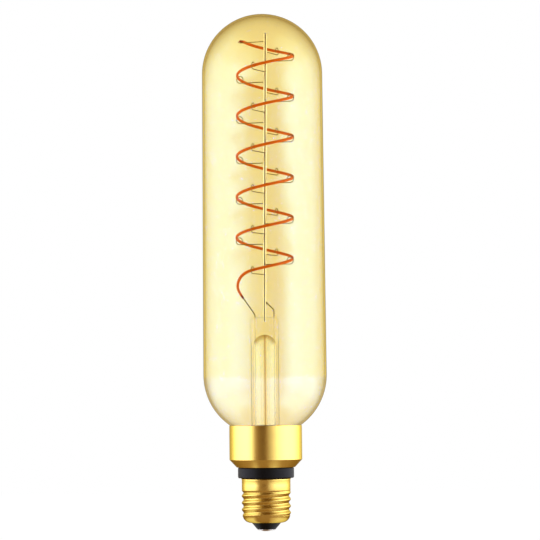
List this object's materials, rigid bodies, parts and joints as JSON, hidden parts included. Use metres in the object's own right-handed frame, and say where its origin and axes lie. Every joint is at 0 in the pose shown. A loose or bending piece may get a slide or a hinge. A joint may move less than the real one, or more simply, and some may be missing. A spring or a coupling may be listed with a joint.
{
  "type": "tubular light bulb",
  "caption": "Long tubular amber glass bulb with a spiral filament on a hooked mast, a gold collar and a screw cap.",
  "frame": {"origin": "tip of the centre contact, on the bulb's axis", "axes": "+Z along the axis from the screw cap up to the glass dome, -Y towards the viewer of the picture"},
  "size_m": [0.0658, 0.0658, 0.2763],
  "materials": {
    "amber_glass": "blown glass with a thin clear amber coating",
    "clear_glass": "clear drawn glass",
    "mast_metal": "bright nickel-plated rod",
    "hook_wire": "thin bright wire",
    "filament_silicone": "orange phosphor silicone, unlit",
    "terminal_metal": "dark reddish crimped metal",
    "lead_wire_metal": "copper-clad wire, slightly oxidised",
    "gold_metal": "polished gold-coloured sheet metal",
    "cement": "dull set cement",
    "black_plastic": "moulded black plastic",
    "insulator_black": "glossy black moulding",
    "contact_metal": "tinned contact disc",
    "board_laminate": "green glass-fibre laminate",
    "chip_black": "black moulded chip body",
    "capacitor_sleeve": "shrunk plastic sleeve",
    "ferrite": "dark grey ferrite drum",
    "resistor_body": "grey-blue lacquered body",
    "tinned_wire": "tinned copper wire"
  },
  "bodies": {
    "root": {"glass_envelope": "amber_glass", "stem_glass": "clear_glass", "exhaust_tube": "clear_glass", "mast": "mast_metal", "filament": "filament_silicone", "filament_terminal_top": "terminal_metal", "filament_terminal_bottom": "terminal_metal", "top_support_wire": "hook_wire", "lead_wire_left": "lead_wire_metal", "lead_wire_right": "lead_wire_metal", "collar": "gold_metal", "basing_cement": "cement", "driver_housing": "black_plastic", "cap_shell": "gold_metal", "cap_insulator": "insulator_black", "centre_contact": "contact_metal", "driver_board": "board_laminate", "driver_chip": "chip_black", "bridge_rectifier": "chip_black", "smoothing_capacitor": "capacitor_sleeve", "inductor": "ferrite", "fusible_resistor": "resistor_body", "live_wire": "tinned_wire", "neutral_wire": "tinned_wire", "filament_hook_01": "hook_wire", "filament_hook_02": "hook_wire", "filament_hook_03": "hook_wire", "filament_hook_04": "hook_wire", "filament_hook_05": "hook_wire", "filament_hook_06": "hook_wire", "filament_hook_07": "hook_wire", "filament_hook_08": "hook_wire", "filament_hook_09": "hook_wire", "filament_hook_10": "hook_wire", "filament_hook_11": "hook_wire", "filament_hook_12": "hook_wire", "filament_hook_13": "hook_wire", "filament_hook_14": "hook_wire", "filament_hook_15": "hook_wire", "filament_hook_16": "hook_wire", "filament_hook_17": "hook_wire", "filament_hook_18": "hook_wire", "filament_hook_19": "hook_wire", "filament_hook_20": "hook_wire", "filament_hook_21": "hook_wire", "filament_hook_22": "hook_wire", "filament_hook_23": "hook_wire"}
  },
  "joints": []
}
